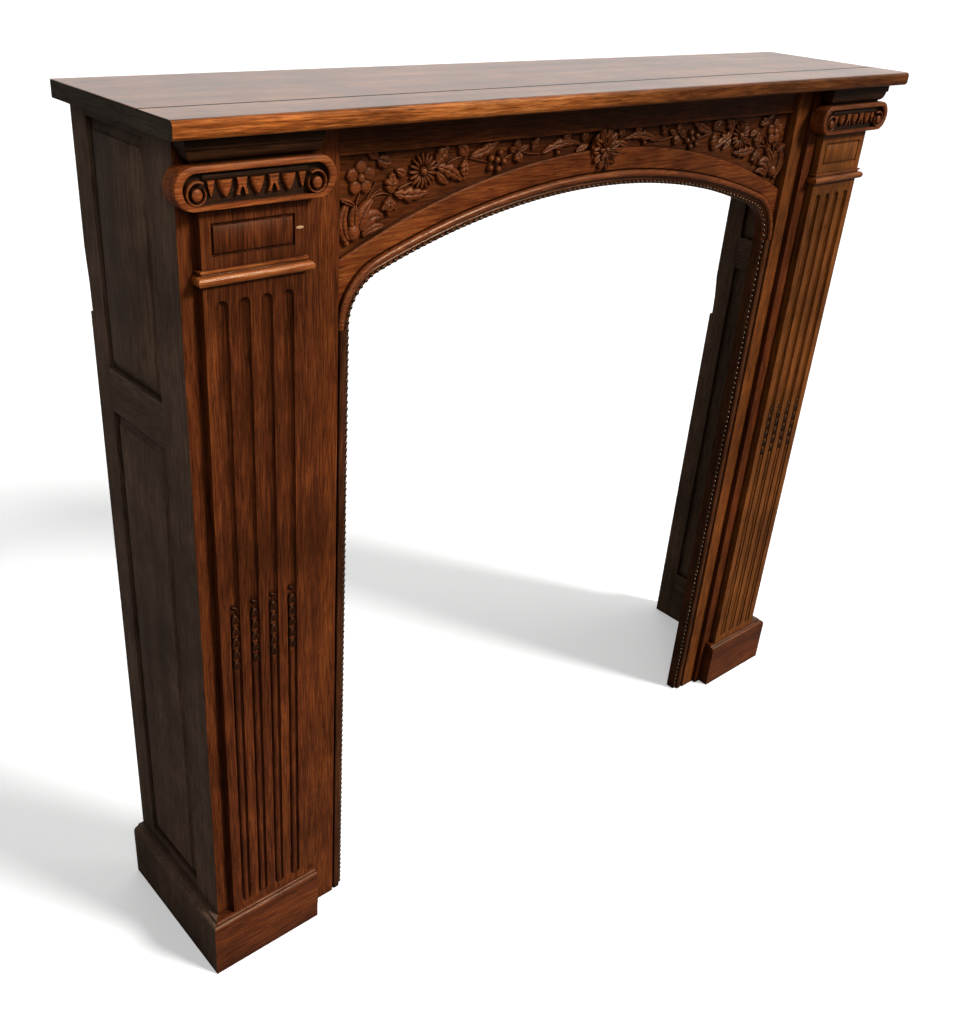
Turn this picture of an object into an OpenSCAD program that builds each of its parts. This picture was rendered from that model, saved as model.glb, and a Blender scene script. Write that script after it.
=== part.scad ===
// Carved oak fireplace surround in the Louis XVI manner.
// +X runs along the shelf, -Y faces the room, +Z is up; the origin is on the floor under the middle.

/* [Overall] */
// Height from the floor to the top of the shelf
overall_h = 1100; // [1000:10:1350]
// Length of the shelf from end to end
shelf_w = 1230; // [1100:10:1500]
// Depth of the shelf from the wall to its front edge
shelf_d = 252; // [230:1:320]

/* [Shelf] */
// Thickness of the shelf boards
shelf_t = 18; // [15:1:30]
// Depth of the front board, from the glue line to the front edge
nosing_d = 64; // [50:1:90]
// Radius worked on the front edge, top and bottom
nosing_r = 5; // [2:0.5:7]
// How far the shelf passes the legs at each end
end_overhang = 18; // [10:1:40]
// How far the shelf passes the legs in front
front_overhang = 39; // [36:1:60]

/* [Front frame] */
// Width of the outer stile that carries the pilaster
outer_stile_w = 160; // [150:1:200]
// Thickness of the outer stile
outer_stile_t = 27; // [22:1:35]
// Width of the plain inner stile
inner_stile_w = 30; // [20:1:50]
// Step from the outer stile back to the inner stile
stile_step = 7; // [3:0.5:9]
// Width of the moulding that edges the fire opening
edge_w = 19; // [16:1:28]

/* [Arch] */
// Height of the springing of the arch
spring_h = 861; // [780:1:930]
// Rise of the arch above its springing
arch_rise = 116; // [90:1:125]
// Radius of the arch's two corner arcs
arch_corner_r = 60; // [40:1:75]
// Thickness of the arch board
arch_board_t = 16; // [14:1:22]
// Step from the inner stile back to the face of the arch board
arch_step = 6; // [3:0.5:7]
// Depth of the sunk ground behind the carving
ground_sunk = 7; // [4:0.5:9]
// Width of the plain band over the arch moulding, at the crown
band_w = 27; // [20:1:30]
// Fall of the band's upper edge from the crown to the inner stiles
band_fall = 88; // [70:1:110]
// Height of the plain border left under the shelf
border_h = 32; // [24:1:36]

/* [Pilaster] */
// Width of the pilaster
pilaster_w = 116; // [95:1:125]
// Thickness of the pilaster
pilaster_t = 10; // [8:0.5:14]
// Plain stile left outside the pilaster
pilaster_inset = 19; // [14:1:30]
// Number of flutes
flute_n = 4; // [3:1:4]
// Distance between flutes
flute_pitch = 25.5; // [20:0.5:26]
// Radius of a flute
flute_r = 7; // [5:0.5:8]
// Depth of a flute
flute_deep = 5; // [3:0.5:6]
// Gap from the top of the flutes up to the collar
flute_top_gap = 17; // [10:1:30]
// Gap from the plinth moulding up to the foot of the flutes
flute_foot_gap = 10; // [6:1:30]
// Height of the carved bellflowers' lowest tip above the floor
husk_foot_h = 477; // [400:1:560]
// Height of one carved bellflower
husk_h = 16; // [12:1:20]
// Number of bellflowers in a flute
husk_n = 5; // [3:1:6]

/* [Capital] */
// Height of the capital
capital_h = 41; // [38:1:44]
// How far the capital passes the pilaster on each side
capital_side = 30.5; // [26:0.5:34]
// How far the capital stands in front of the outer stile
capital_deep = 23; // [20:0.5:26]
// Width of the rim band round the capital
rim_w = 9; // [7:0.5:11]
// Depth of the sunk field inside the rim
rim_deep = 7; // [5:0.5:9]
// Radius of the scroll at each end of the field
scroll_r = 12.5; // [11:0.5:13]
// Width of the band that forms each scroll
scroll_band = 3.5; // [2.5:0.5:4]
// Radius of the button in each scroll
scroll_button_r = 6; // [5:0.5:7]
// How far the scrolls hang below the middle of the capital
scroll_drop = 4; // [3:0.5:5]
// Number of eggs
egg_n = 3; // [1:2:3]
// Height of one egg
egg_h = 19; // [16:0.5:20]
// Radius of the dart between two eggs, at its foot
dart_foot_r = 1.6; // [1:0.2:2.4]
// Radius of that dart at its head
dart_head_r = 3.2; // [2.4:0.2:4]
// Distance between eggs
egg_pitch = 33; // [28:0.5:36]

/* [Collar and panelled block] */
// Height of the block between the collar and the capital
block_h = 59; // [52:1:90]
// Height of the collar
collar_h = 15; // [12:1:20]
// How far the collar stands out from the pilaster
collar_out = 8; // [5:0.5:10]
// Height of the thin fillet on top of the collar
collar_fillet_h = 2.5; // [1.5:0.5:3.5]
// How far that fillet stands out from the pilaster
collar_fillet_out = 3; // [2:0.5:4]
// Plain margin at each side of the block's panel
block_margin = 11; // [8:1:18]
// Plain margin under that panel
block_foot = 12; // [8:1:18]
// Height of the panel, with the groove that frames it
block_panel_h = 32; // [24:1:34]
// Width of the groove
block_groove_w = 3; // [2:0.5:5]
// Depth of the groove
block_groove_deep = 2.5; // [1:0.5:4]

/* [Impost] */
// Height of the moulded impost between the capital and the shelf
impost_h = 25; // [20:1:32]
// Height of its plain upper face
impost_fascia = 11; // [8:0.5:14]
// How far its cove draws in
impost_cove = 9; // [6:0.5:11]
// How far it stands in front of the outer stile
impost_deep = 22.5; // [20:0.5:26]
// How far it passes the pilaster on each side
impost_side = 17.5; // [14:0.5:18]

/* [Plinth] */
// Height of the plinth boards under their moulded top
plinth_h = 77; // [60:1:120]
// Height of the moulded top
plinth_top_h = 11; // [9:1:14]
// Thickness of the front plinth board
plinth_front_t = 17.5; // [14:0.5:22]
// Thickness of the side plinth board
plinth_side_t = 15; // [12:0.5:18]
// How far the front plinth passes the pilaster on its inner side
plinth_inner = 12; // [6:1:20]

/* [Side returns] */
// Thickness of the returns
return_t = 20; // [16:1:26]
// Width of the back stile
back_stile_w = 34; // [26:1:50]
// Width of the front stile
front_stile_w = 28; // [22:1:40]
// Height of the top rail
top_rail_h = 12; // [10:1:40]
// Height of the middle rail
middle_rail_h = 53; // [40:1:70]
// Height of the middle rail's top edge above the floor
middle_rail_top = 802; // [700:1:880]
// Height of the bottom rail
bottom_rail_h = 104; // [102:1:140]
// Thickness of a panel at its raised field
panel_t = 12; // [9:1:14]
// Width of the bevel round the raised field
panel_bevel = 12; // [8:1:16]
// Fall of that bevel
panel_fall = 6; // [3:0.5:7]
// Depth of the old chips in the back edges
chip_deep = 5; // [2:0.5:8]
// Length of those chips
chip_l = 80; // [40:5:120]

/* [Hidden] */

oak = [0.55, 0.33, 0.15];
dark_oak = [0.40, 0.28, 0.18];
pale_oak = [0.68, 0.60, 0.52];
eps = 0.01;

// Planes across the depth: the wall is at back_y, smaller y is nearer the room
back_y = shelf_d / 2;
front_y = -shelf_d / 2;
glue_y = front_y + nosing_d;
outer_y = front_y + front_overhang;
inner_y = outer_y + stile_step;
frame_back_y = outer_y + outer_stile_t;
board_y = inner_y + arch_step;
ground_y = board_y + ground_sunk;
board_back_y = board_y + arch_board_t;
pilaster_y = outer_y - pilaster_t;

// Places along the length, measured from the middle
side_x = shelf_w / 2 - end_overhang;
outer_x = side_x - outer_stile_w;
inner_x = outer_x - inner_stile_w;
half_span = inner_x - edge_w;
pilaster_x = side_x - pilaster_inset - pilaster_w / 2;

// Heights
shelf_z = overall_h - shelf_t;
impost_z = shelf_z - impost_h;
capital_z = impost_z - capital_h;
collar_z = capital_z - block_h - collar_h;
plinth_z = plinth_h + plinth_top_h;
border_z = shelf_z - border_h;

// The arch is a basket arch: a long arc of radius crown_r between two corner arcs
corner_x = half_span - arch_corner_r;
crown_r = (pow(corner_x, 2) + pow(arch_rise, 2) - pow(arch_corner_r, 2))
    / (2 * (arch_rise - arch_corner_r));
crown_z = spring_h + arch_rise - crown_r;
crown_angle = asin(corner_x / (crown_r - arch_corner_r));
tangent_x = crown_r * sin(crown_angle);

// The plain band's upper edge is one arc from stile to stile
band_z = spring_h + arch_rise + edge_w + band_w;
band_r = (pow(inner_x, 2) + pow(band_fall, 2)) / (2 * band_fall);
function band_top(x) = band_z - band_r + sqrt(pow(band_r, 2) - pow(x, 2));

// Section of the edge moulding: bead, cove and roll, as [distance from the opening, rise off the board]
bead_r = 2.7;
cove_w = 4.6;
roll_r = (edge_w - 2 * bead_r - cove_w) / 2;
function bump(start, r, n) = [for (i = [0:n]) [start + r - r * cos(180 * i / n), r * sin(180 * i / n)]];
function edge_section(base) = concat([[0, -base]], bump(0, bead_r, 8),
    [[2 * bead_r + cove_w, 0.6]], bump(2 * bead_r + cove_w, roll_r, 12), [[edge_w, -base]]);

// Everything on one side is drawn on the right; the left is its mirror image
module sided(side) {
    if (side == "left") mirror([1, 0, 0]) children();
    else children();
}

// A box given by its low and high corners
module box(low, high) {
    translate(low) cube(high - low);
}

// A solid whose front and both ends carry one profile, mitred at the corners.
// The profile is a list of [projection, height] from its top to its foot.
module mitred_block(x0, x1, y_face, y_rear, profile) {
    far = profile[0][1];
    low = profile[len(profile) - 1][1];
    intersection() {
        translate([x0 - 50, 0, 0]) rotate([90, 0, 90]) linear_extrude(height = x1 - x0 + 100)
            polygon(concat([for (p = profile) [y_face - p[0], p[1]]], [[y_rear, low], [y_rear, far]]));
        translate([0, y_rear, 0]) rotate([90, 0, 0]) linear_extrude(height = y_rear - y_face + 100)
            polygon(concat([for (p = profile) [x0 - p[0], p[1]]],
                [for (i = [len(profile) - 1:-1:0]) [x1 + profile[i][0], profile[i][1]]]));
    }
}

module shelf_back_board() {
    color(pale_oak) box([-shelf_w / 2, glue_y, shelf_z], [shelf_w / 2, back_y, overall_h]);
}

module shelf_front_board() {
    color(pale_oak) translate([-shelf_w / 2, 0, 0]) rotate([90, 0, 90]) linear_extrude(height = shelf_w)
        polygon(concat([[glue_y, overall_h]],
            [for (a = [90:15:180]) [front_y + nosing_r + nosing_r * cos(a), overall_h - nosing_r + nosing_r * sin(a)]],
            [for (a = [180:15:270]) [front_y + nosing_r + nosing_r * cos(a), shelf_z + nosing_r + nosing_r * sin(a)]],
            [[glue_y, shelf_z]]));
}

// The opening below the arch, grown outward by g
module basket(g) {
    intersection() {
        translate([0, crown_z]) circle(r = crown_r + g, $fn = 180);
        translate([-tangent_x - g, spring_h - 200]) square([2 * (tangent_x + g), 600]);
        translate([-tangent_x * (crown_r + g) / crown_r, spring_h - 200])
            square([2 * tangent_x * (crown_r + g) / crown_r, 600]);
    }
    for (s = [-1, 1]) translate([s * corner_x, spring_h]) circle(r = arch_corner_r + g, $fn = 72);
    translate([-half_span - g, spring_h - 200]) square([2 * (half_span + g), 200]);
}

module arch_outline() {
    difference() {
        translate([-inner_x, spring_h]) square([2 * inner_x, shelf_z - spring_h]);
        basket(0);
    }
}

// The spandrels that are cut back behind the carving
module ground_outline() {
    difference() {
        translate([-inner_x, spring_h]) square([2 * inner_x, border_z - spring_h]);
        translate([0, band_z - band_r]) circle(r = band_r, $fn = 180);
    }
}

// A flat drawing in x and z raised forward by t from the plane y
module raise(y, t) {
    translate([0, y, 0]) rotate([90, 0, 0]) linear_extrude(height = t) children();
}

// Carved pieces, each drawn about its own middle; leaves point along +x
module leaf(l, w) {
    r = (pow(l, 2) + pow(w, 2)) / (4 * w);
    intersection() {
        translate([0, r - w / 2]) circle(r = r, $fn = 48);
        translate([0, w / 2 - r]) circle(r = r, $fn = 48);
    }
}

module flower(r, n) {
    circle(r = r * 0.45, $fn = 24);
    for (i = [0:n - 1]) rotate(360 * i / n + 18) translate([r * 0.6, 0]) circle(r = r * 0.4, $fn = 24);
}

module daisy(r, n) {
    circle(r = r * 0.7, $fn = 36);
    for (i = [0:n - 1]) rotate(360 * i / n) translate([r * 0.6, 0]) leaf(r * 0.8, r * 0.42);
}

module calyx(l) {
    for (k = [[64, 1], [0, 1.05], [-58, 0.85]]) rotate(k[0]) translate([l * 0.42 * k[1], 0]) leaf(l * k[1], l * 0.36);
    circle(r = l * 0.22, $fn = 24);
}

// The garland: kind, share of the half length from the middle, share of the spandrel's height there,
// turn in degrees, length
garland = [["calyx", 0.94, 0.27, 52, 46], ["ball", 0.97, 0.12, 0, 7], ["flower", 0.915, 0.71, 0, 17],
    ["leaf", 0.845, 0.86, 60, 24], ["leaf", 0.82, 0.56, 80, 32], ["flower3", 0.825, 0.30, 0, 13],
    ["leaf", 0.755, 0.23, 12, 50], ["leaf", 0.785, 0.72, 130, 22], ["daisy", 0.72, 0.58, 0, 21],
    ["leaf", 0.65, 0.80, 40, 28], ["leaf", 0.63, 0.38, 150, 44], ["leaf", 0.575, 0.82, 100, 22],
    ["leaf", 0.57, 0.45, 80, 26], ["leaf", 0.50, 0.75, 25, 46], ["ball", 0.465, 0.62, 0, 11],
    ["ball", 0.44, 0.62, 0, 11], ["ball", 0.475, 0.36, 0, 11], ["ball", 0.45, 0.38, 0, 11],
    ["ball", 0.425, 0.38, 0, 11], ["ball", 0.46, 0.13, 0, 11], ["ball", 0.43, 0.15, 0, 11],
    ["flower", 0.375, 0.56, 0, 15], ["leaf", 0.32, 0.60, 70, 26], ["leaf", 0.225, 0.50, 10, 52],
    ["leaf", 0.165, 0.78, 120, 17], ["leaf", 0.10, 0.70, 80, 19], ["leaf", 0.115, 0.24, 160, 26]];

module motif(kind, l) {
    if (kind == "leaf") leaf(l, l * 0.42);
    if (kind == "flower") flower(l, 5);
    if (kind == "flower3") flower(l, 3);
    if (kind == "daisy") daisy(l, 12);
    if (kind == "calyx") calyx(l);
    if (kind == "ball") circle(r = l / 2, $fn = 24);
}

module arch_panel() {
    color(oak) {
        raise(board_back_y, board_back_y - ground_y) arch_outline();
        raise(ground_y, ground_sunk) difference() {
            arch_outline();
            ground_outline();
        }
        raise(ground_y + 1, ground_sunk) intersection() {
            ground_outline();
            for (s = [-1, 1], g = garland) {
                x = g[1] * inner_x;
                translate([s * x, band_top(x) + g[2] * (border_z - band_top(x))]) scale([s, 1])
                    rotate(g[3] + 90) rotate(-90) motif(g[0], g[4]);
            }
        }
        raise(board_y + 1, 7) translate([0, band_z - 2]) daisy(band_w - 3, 16);
    }
}

// One length of the edge moulding turned about the middle of its arc
module moulding_arc(x, z, r, from, turn) {
    translate([x, board_y, z]) rotate([90, 0, 0]) rotate([0, 0, from]) rotate_extrude(angle = turn, $fn = 180)
        polygon([for (p = edge_section(0)) [r + p[0], p[1]]]);
}

module arch_moulding_crown() {
    color(oak) moulding_arc(0, crown_z, crown_r, 90 - crown_angle, 2 * crown_angle);
}

module arch_moulding_corner(side) {
    color(oak) sided(side) moulding_arc(corner_x, spring_h, arch_corner_r, 0, 90 - crown_angle);
}

module jamb_moulding(side) {
    color(oak) sided(side) linear_extrude(height = spring_h)
        polygon([for (p = edge_section(arch_board_t)) [half_span + p[0], board_y - p[1]]]);
}

module outer_stile(side) {
    color(oak) sided(side) box([outer_x, outer_y, 0], [side_x, frame_back_y, shelf_z]);
}

module inner_stile(side) {
    color(oak) sided(side) box([inner_x, inner_y, 0], [outer_x, frame_back_y, shelf_z]);
}

// One flute, sunk from the face of the pilaster, round at both ends
module flute(x, low, high) {
    y = pilaster_y + flute_deep - flute_r;
    r_face = sqrt(pow(flute_r, 2) - pow(flute_r - flute_deep, 2));
    translate([x, y, low + r_face]) {
        cylinder(h = high - low - 2 * r_face, r = flute_r, $fn = 36);
        sphere(r = flute_r, $fn = 36);
        translate([0, 0, high - low - 2 * r_face]) sphere(r = flute_r, $fn = 36);
    }
}

// The rod that fills the lower part of a flute, and the bellflowers that hang above it
module flute_filling(x, low) {
    rod_r = flute_r * 0.62;
    y = pilaster_y + flute_deep - 1;
    translate([x, y, low + rod_r]) {
        cylinder(h = husk_foot_h - low - rod_r, r = rod_r, $fn = 24);
        sphere(r = rod_r, $fn = 24);
    }
    for (i = [0:husk_n - 1]) translate([x, y, husk_foot_h + i * husk_h])
        cylinder(h = husk_h, r1 = flute_r * 0.66, r2 = flute_r * 0.25, $fn = 24);
}

// The groove that frames a panel on the block over the collar
module block_groove(x0, x1, z) {
    difference() {
        box([x0, pilaster_y - 1, z], [x1, pilaster_y + block_groove_deep, z + block_panel_h]);
        box([x0 + block_groove_w, pilaster_y - 2, z + block_groove_w],
            [x1 - block_groove_w, outer_y, z + block_panel_h - block_groove_w]);
    }
}

module pilaster(side) {
    low = plinth_z + flute_foot_gap;
    high = collar_z - flute_top_gap;
    x0 = pilaster_x - pilaster_w / 2;
    x1 = pilaster_x + pilaster_w / 2;
    block_z = collar_z + collar_h + block_foot;
    color(oak) sided(side) {
        difference() {
            box([x0, pilaster_y, plinth_z], [x1, outer_y, capital_z]);
            for (i = [0:flute_n - 1]) flute(pilaster_x + (i - (flute_n - 1) / 2) * flute_pitch, low, high);
            block_groove(x0 + block_margin, x1 - block_margin, block_z);
        }
        for (i = [0:flute_n - 1]) flute_filling(pilaster_x + (i - (flute_n - 1) / 2) * flute_pitch, low);
    }
}

// Collar: a fillet over a round nose, mitred round the pilaster's three free sides
module collar(side) {
    nose_r = min(collar_h * 0.36, collar_out * 0.65);
    nose_out = collar_out - nose_r;
    quirk_out = nose_out - nose_r * sin(15);
    top = collar_z + collar_h;
    profile = concat([[collar_fillet_out, top], [collar_fillet_out, top - collar_fillet_h],
        [quirk_out, top - collar_fillet_h]],
        [for (a = [105:-15:-90]) [nose_out + nose_r * cos(a), collar_z + nose_r + nose_r * sin(a)]]);
    color(oak) sided(side) difference() {
        mitred_block(pilaster_x - pilaster_w / 2, pilaster_x + pilaster_w / 2, pilaster_y, outer_y, profile);
        box([pilaster_x - pilaster_w / 2, pilaster_y, collar_z - 1],
            [pilaster_x + pilaster_w / 2, outer_y + 1, top + 1]);
    }
}

// A bar with half round ends, half_w to each side
module stadium(half_w, r) {
    translate([-half_w + r, -r]) square([2 * (half_w - r), 2 * r]);
    for (s = [-1, 1]) translate([s * (half_w - r), 0]) circle(r = r, $fn = 48);
}

module capital(side) {
    half_w = pilaster_w / 2 + capital_side;
    r = capital_h / 2;
    face_y = outer_y - capital_deep;
    field_y = face_y + rim_deep;
    color(oak) sided(side) translate([pilaster_x, 0, capital_z + r]) {
        raise(outer_y, outer_y - field_y) stadium(half_w, r);
        raise(field_y, rim_deep) difference() {
            stadium(half_w, r);
            translate([0, -1]) stadium(half_w - rim_w, r - rim_w);
        }
        for (s = [-1, 1])
            translate([s * (half_w - rim_w - scroll_r), field_y + 1, -scroll_drop]) rotate([90, 0, 0]) {
                difference() {
                    cylinder(h = rim_deep + 0.5, r = scroll_r, $fn = 48);
                    translate([0, 0, 2]) cylinder(h = rim_deep, r = scroll_r - scroll_band, $fn = 48);
                }
                cylinder(h = rim_deep + 0.5, r = scroll_button_r, $fn = 36);
            }
        for (i = [0:egg_n - 1]) translate([(i - (egg_n - 1) / 2) * egg_pitch, field_y, -scroll_drop + 1])
            scale([0.8, 0.5, 1]) sphere(r = egg_h / 2, $fn = 32);
        for (i = [1:egg_n - 1]) translate([(i - egg_n / 2) * egg_pitch, field_y + 1, -r / 2])
            cylinder(h = r * 0.65, r1 = dart_foot_r, r2 = dart_head_r, $fn = 24);
    }
}

module impost(side) {
    top = shelf_z;
    low = impost_z;
    cove_h = impost_h - impost_fascia - 1.5;
    profile = concat([[0, top], [0, top - impost_fascia]],
        [for (a = [0:15:90]) [-impost_cove + (impost_cove - 2) * cos(a), low + 1.5 + cove_h * (1 - sin(a))]],
        [[-impost_cove, low]]);
    color(dark_oak) sided(side)
        mitred_block(pilaster_x - pilaster_w / 2 - impost_side, pilaster_x + pilaster_w / 2 + impost_side,
            outer_y - impost_deep, outer_y, profile);
}

// The moulded top of the plinth: a quarter round, a quirk and a fillet
function plinth_profile() = concat([[-plinth_side_t + 7, plinth_z], [-plinth_side_t + 8, plinth_z - 2.5]],
    [for (a = [90:-15:0]) [-6 + 6 * cos(a), plinth_h + (plinth_top_h - 3.5) * sin(a)]], [[0, 0]]);

// Both plinth boards of one leg as one shell, before they are parted at the mitre
module plinth_shell() {
    x0 = pilaster_x - pilaster_w / 2 - plinth_inner;
    x1 = side_x + plinth_side_t;
    y0 = outer_y - plinth_front_t;
    difference() {
        mitred_block(x0 - 60, x1, y0, back_y, plinth_profile());
        box([x0 - 200, y0 - 1, -1], [x0, back_y + 1, plinth_z + 1]);
        box([x0 - 1, outer_y, -1], [side_x, back_y + 1, plinth_z + 1]);
    }
}

module plinth_mitre_zone() {
    translate([0, 0, -1]) linear_extrude(height = plinth_z + 2)
        polygon([[pilaster_x - pilaster_w / 2 - plinth_inner - 1, outer_y - plinth_front_t - 1],
            [side_x + plinth_side_t * (1 + 1 / plinth_front_t), outer_y - plinth_front_t - 1],
            [side_x, outer_y], [pilaster_x - pilaster_w / 2 - plinth_inner - 1, outer_y]]);
}

module plinth_front(side) {
    color(oak) sided(side) intersection() {
        plinth_shell();
        plinth_mitre_zone();
    }
}

module plinth_side(side) {
    color(dark_oak) sided(side) difference() {
        plinth_shell();
        plinth_mitre_zone();
    }
}

// An old chip in the back edge of a return, deepest at its foot
module chip(z) {
    translate([side_x - return_t - 1, 0, 0]) rotate([90, 0, 90]) linear_extrude(height = return_t + 2)
        polygon([[back_y + 1, z], [back_y - chip_deep, z], [back_y - chip_deep * 0.8, z + chip_l * 0.4],
            [back_y + 1, z + chip_l]]);
}

module return_back_stile(side) {
    color(dark_oak) sided(side) difference() {
        box([side_x - return_t, back_y - back_stile_w, 0], [side_x, back_y, shelf_z]);
        chip(side == "left" ? middle_rail_top + 55 : middle_rail_top - middle_rail_h - 95);
    }
}

module return_front_stile(side) {
    color(dark_oak) sided(side)
        box([side_x - return_t, frame_back_y, 0], [side_x, frame_back_y + front_stile_w, shelf_z]);
}

module return_rail(side, low, high) {
    color(dark_oak) sided(side)
        box([side_x - return_t, frame_back_y + front_stile_w, low], [side_x, back_y - back_stile_w, high]);
}

// A raised and fielded panel filling the opening from low to high
module fielded_panel(side, low, high) {
    y0 = frame_back_y + front_stile_w;
    y1 = back_y - back_stile_w;
    face_x = side_x - 1;
    edge_x = face_x - panel_fall;
    back_x = face_x - panel_t;
    section_y = [[y0, back_x], [y0, edge_x], [y0 + panel_bevel, face_x - 2], [y0 + panel_bevel, face_x],
        [y1 - panel_bevel, face_x], [y1 - panel_bevel, face_x - 2], [y1, edge_x], [y1, back_x]];
    section_z = [[low, back_x], [low, edge_x], [low + panel_bevel, face_x - 2], [low + panel_bevel, face_x],
        [high - panel_bevel, face_x], [high - panel_bevel, face_x - 2], [high, edge_x], [high, back_x]];
    color(dark_oak) sided(side) intersection() {
        translate([0, 0, low]) linear_extrude(height = high - low) polygon([for (p = section_y) [p[1], p[0]]]);
        translate([0, y1, 0]) rotate([90, 0, 0]) linear_extrude(height = y1 - y0)
            polygon([for (p = section_z) [p[1], p[0]]]);
    }
}

shelf_back_board();
shelf_front_board();
arch_panel();
arch_moulding_crown();
arch_moulding_corner("left");  // arch_moulding_left
arch_moulding_corner("right");  // arch_moulding_right
impost("left");  // impost_left
impost("right");  // impost_right
capital("left");  // capital_left
capital("right");  // capital_right
pilaster("left");  // pilaster_left
pilaster("right");  // pilaster_right
collar("left");  // collar_left
collar("right");  // collar_right
outer_stile("left");  // outer_stile_left
outer_stile("right");  // outer_stile_right
inner_stile("left");  // inner_stile_left
inner_stile("right");  // inner_stile_right
jamb_moulding("left");  // jamb_moulding_left
jamb_moulding("right");  // jamb_moulding_right
plinth_front("left");  // plinth_front_left
plinth_front("right");  // plinth_front_right
plinth_side("left");  // plinth_side_left
plinth_side("right");  // plinth_side_right
return_back_stile("left");  // return_back_stile_left
return_back_stile("right");  // return_back_stile_right
return_front_stile("left");  // return_front_stile_left
return_front_stile("right");  // return_front_stile_right
return_rail("left", shelf_z - top_rail_h, shelf_z);  // return_top_rail_left
return_rail("right", shelf_z - top_rail_h, shelf_z);  // return_top_rail_right
return_rail("left", middle_rail_top - middle_rail_h, middle_rail_top);  // return_middle_rail_left
return_rail("right", middle_rail_top - middle_rail_h, middle_rail_top);  // return_middle_rail_right
return_rail("left", 0, bottom_rail_h);  // return_bottom_rail_left
return_rail("right", 0, bottom_rail_h);  // return_bottom_rail_right
fielded_panel("left", middle_rail_top, shelf_z - top_rail_h);  // return_upper_panel_left
fielded_panel("right", middle_rail_top, shelf_z - top_rail_h);  // return_upper_panel_right
fielded_panel("left", bottom_rail_h, middle_rail_top - middle_rail_h);  // return_lower_panel_left
fielded_panel("right", bottom_rail_h, middle_rail_top - middle_rail_h);  // return_lower_panel_right
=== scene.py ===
import math

import bmesh
import bpy
import numpy as np
from mathutils import Matrix, Vector


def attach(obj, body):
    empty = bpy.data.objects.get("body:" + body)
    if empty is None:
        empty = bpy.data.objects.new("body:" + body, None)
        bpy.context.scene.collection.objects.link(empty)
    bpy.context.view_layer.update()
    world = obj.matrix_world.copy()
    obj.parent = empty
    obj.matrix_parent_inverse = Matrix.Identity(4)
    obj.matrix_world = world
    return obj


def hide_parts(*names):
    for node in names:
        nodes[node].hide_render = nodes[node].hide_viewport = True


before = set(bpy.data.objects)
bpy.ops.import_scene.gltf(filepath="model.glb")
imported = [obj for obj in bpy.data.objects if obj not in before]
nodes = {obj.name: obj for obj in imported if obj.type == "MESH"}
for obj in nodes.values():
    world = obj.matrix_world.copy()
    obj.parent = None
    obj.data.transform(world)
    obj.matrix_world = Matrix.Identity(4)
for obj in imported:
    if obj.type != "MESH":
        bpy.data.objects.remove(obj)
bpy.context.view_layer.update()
scene = bpy.context.scene
scene.view_settings.view_transform = "Standard"
print("frame loaded:", len(nodes), "nodes")

# camera
camera = {
    "place": (-1.0716, -1.0078, 1.2665),  # metres
    "azimuth": 42.55,  # degrees, turned from +Y towards +X
    "elevation": 28.72,
    "roll": 3.97,
    "lens": 38.24,  # mm on a 36 mm sensor
    "shift": (0.0266, 0.0008),
}


def makeCamera(c):
    # forward f, right r and up u are turned by the roll, then written as the camera's axes
    a, e, t = (math.radians(c[k]) for k in ("azimuth", "elevation", "roll"))
    f = Vector((math.sin(a) * math.cos(e), math.cos(a) * math.cos(e), -math.sin(e)))
    r = Vector((math.cos(a), -math.sin(a), 0.0))
    u = r.cross(f)
    right = math.cos(t) * r + math.sin(t) * u
    up = math.cos(t) * u - math.sin(t) * r
    data = bpy.data.cameras.new("roomCamera")
    data.lens, data.sensor_width = c["lens"], 36.0
    data.shift_x, data.shift_y = c["shift"]
    data.clip_start, data.clip_end = 0.05, 200.0
    cam = bpy.data.objects.new("roomCamera", data)
    scene.collection.objects.link(cam)
    m = Matrix((right, up, -f)).transposed().to_4x4()
    m.translation = Vector(c["place"])
    cam.matrix_world = m
    scene.camera = cam


makeCamera(camera)

# node helpers


def toLinear(hexText):
    # sRGB byte c -> ((c + 0.055) / 1.055) ^ 2.4, or c / 12.92 near black
    c = [int(hexText[i : i + 2], 16) / 255 for i in (1, 3, 5)]
    return [v / 12.92 if v <= 0.04045 else ((v + 0.055) / 1.055) ** 2.4 for v in c] + [1.0]


def addNode(tree, kind, settings=(), **links):
    # settings is a list of (name, value): an input's name, or the node's own attribute
    n = tree.nodes.new("ShaderNode" + kind)
    for name, value in settings:
        if name in n.inputs:
            n.inputs[name].default_value = value
        else:
            setattr(n, name, value)
    for name, source in links.items():
        key = int(name[1:]) if name[0] == "i" and name[1:].isdigit() else name.replace("_", " ")
        tree.links.new(source, n.inputs[key])
    return n


def setRamp(node, stops):
    ramp = node.color_ramp
    while len(ramp.elements) > 1:
        ramp.elements.remove(ramp.elements[-1])
    ramp.elements[0].position, ramp.elements[0].color = stops[0]
    for position, colour in stops[1:]:
        ramp.elements.new(position).color = colour


def mapRange(tree, value, start, end, low=0.0, high=1.0, kind="LINEAR"):
    # value from start to end -> low to high, held at both ends
    settings = [("interpolation_type", kind), ("From Min", start), ("From Max", end), ("To Min", low),
                ("To Max", high)]
    return addNode(tree, "MapRange", settings, Value=value).outputs[0]


def times(tree, a, b):
    return addNode(tree, "Math", [("operation", "MULTIPLY")], i0=a, i1=b).outputs[0]


def addNoise(tree, vector, scale, detail, roughness=0.5):
    return addNode(tree, "TexNoise", [("Scale", scale), ("Detail", detail), ("Roughness", roughness)],
                   Vector=vector)


def axisOf(tree, coord, axis):
    return addNode(tree, "SeparateXYZ", Vector=coord).outputs[axis]


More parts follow.
